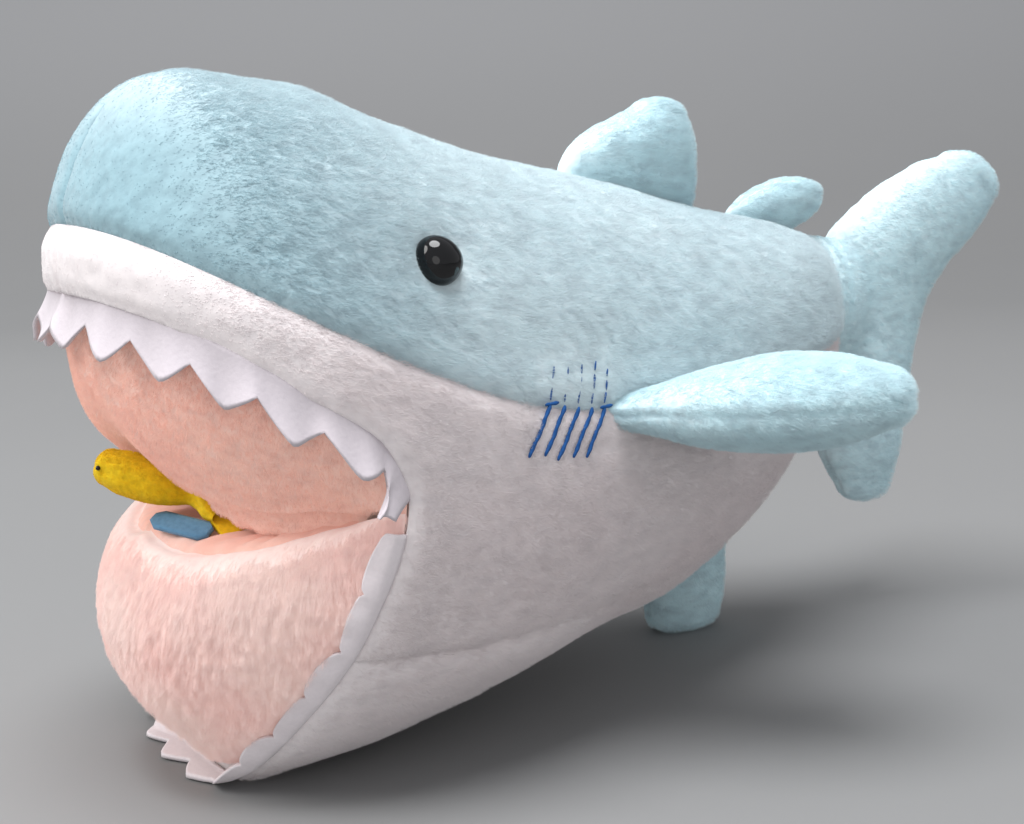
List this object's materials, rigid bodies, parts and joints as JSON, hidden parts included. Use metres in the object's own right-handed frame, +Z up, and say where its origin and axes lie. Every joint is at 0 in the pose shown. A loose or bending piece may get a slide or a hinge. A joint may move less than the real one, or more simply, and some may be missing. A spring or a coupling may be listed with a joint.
{
  "type": "plush shark",
  "caption": "Stuffed plush shark with an open felt-toothed mouth, jointed soft fins and tail, and a small plush fish tucked in its throat.",
  "frame": {"origin": "on the floor, under the centre of the shark's bounding box", "axes": "+Z up; +Y from the snout to the tail; +X to the shark's left side"},
  "size_m": [0.2072, 0.322, 0.171],
  "materials": {
    "blue_plush": "matte",
    "fin_plush": "matte",
    "white_plush": "matte",
    "palate_plush": "matte",
    "jaw_plush": "matte",
    "tooth_felt": "matte",
    "filling": "matte",
    "eye_plastic": "gloss",
    "washer_plastic": "matte",
    "gill_thread": "satin",
    "fish_plush": "matte",
    "fish_felt": "matte",
    "blue_felt": "matte"
  },
  "bodies": {
    "body": {"back_panel_left": "blue_plush", "back_panel_right": "blue_plush", "flank_panel_left": "white_plush", "flank_panel_right": "white_plush", "belly_gusset": "white_plush", "body_stuffing": "filling", "palate_lining": "palate_plush", "jaw_lining": "jaw_plush", "palate_stuffing": "filling", "jaw_stuffing": "filling", "throat_pocket": "palate_plush", "upper_teeth": "tooth_felt", "lower_teeth": "tooth_felt", "eye_left": "eye_plastic", "eye_right": "eye_plastic", "eye_washer_left": "washer_plastic", "eye_washer_right": "washer_plastic", "gill_stitch_left_1": "gill_thread", "gill_stitch_left_2": "gill_thread", "gill_stitch_left_3": "gill_thread", "gill_stitch_left_4": "gill_thread", "gill_stitch_left_5": "gill_thread", "gill_stitch_right_1": "gill_thread", "gill_stitch_right_2": "gill_thread", "gill_stitch_right_3": "gill_thread", "gill_stitch_right_4": "gill_thread", "gill_stitch_right_5": "gill_thread", "ventral_fin_cover": "fin_plush", "ventral_fin_stuffing": "filling"},
    "fish": {"fish_cover": "fish_plush", "fish_stuffing": "filling", "fish_tail": "fish_felt", "fish_fin": "blue_felt", "fish_eye_left": "eye_plastic", "fish_eye_right": "eye_plastic"},
    "pectoral_left": {"pectoral_fin_left_cover": "fin_plush", "pectoral_fin_left_stuffing": "filling"},
    "pectoral_right": {"pectoral_fin_right_cover": "fin_plush", "pectoral_fin_right_stuffing": "filling"},
    "dorsal": {"dorsal_fin_cover": "fin_plush", "dorsal_fin_stuffing": "filling"},
    "second_dorsal": {"second_dorsal_fin_cover": "fin_plush", "second_dorsal_fin_stuffing": "filling"},
    "tail": {"tail_fin_cover": "fin_plush", "tail_fin_stuffing": "filling"}
  },
  "joints": [
    {"name": "fish_pull_out", "type": "slide", "parent": "body", "child": "fish", "axis": [0, -0.9889, 0.1483], "range_m": [0, 0.06]},
    {"name": "pectoral_left_flap", "type": "hinge", "parent": "body", "child": "pectoral_left", "pos_m": [0.05801, -0.03048, 0.08723], "axis": [0.2288, -0.9735, 0], "range_deg": [-25, 35], "stiffness_Nm_per_rad": 0.12},
    {"name": "pectoral_right_flap", "type": "hinge", "parent": "body", "child": "pectoral_right", "pos_m": [-0.05801, -0.03048, 0.08723], "axis": [0.2288, 0.9735, 0], "range_deg": [-25, 35], "stiffness_Nm_per_rad": 0.12},
    {"name": "dorsal_fold", "type": "hinge", "parent": "body", "child": "dorsal", "pos_m": [0, -0.01846, 0.14517], "axis": [0, 0.9759, -0.2184], "range_deg": [-25, 25], "stiffness_Nm_per_rad": 0.06},
    {"name": "second_dorsal_fold", "type": "hinge", "parent": "body", "child": "second_dorsal", "pos_m": [0, 0.04304, 0.13197], "axis": [0, 0.98, -0.199], "range_deg": [-20, 20], "stiffness_Nm_per_rad": 0.02},
    {"name": "tail_swish", "type": "hinge", "parent": "body", "child": "tail", "pos_m": [0, 0.07854, 0.101], "axis": [0, 0, 1], "range_deg": [-30, 30], "stiffness_Nm_per_rad": 0.3}
  ]
}
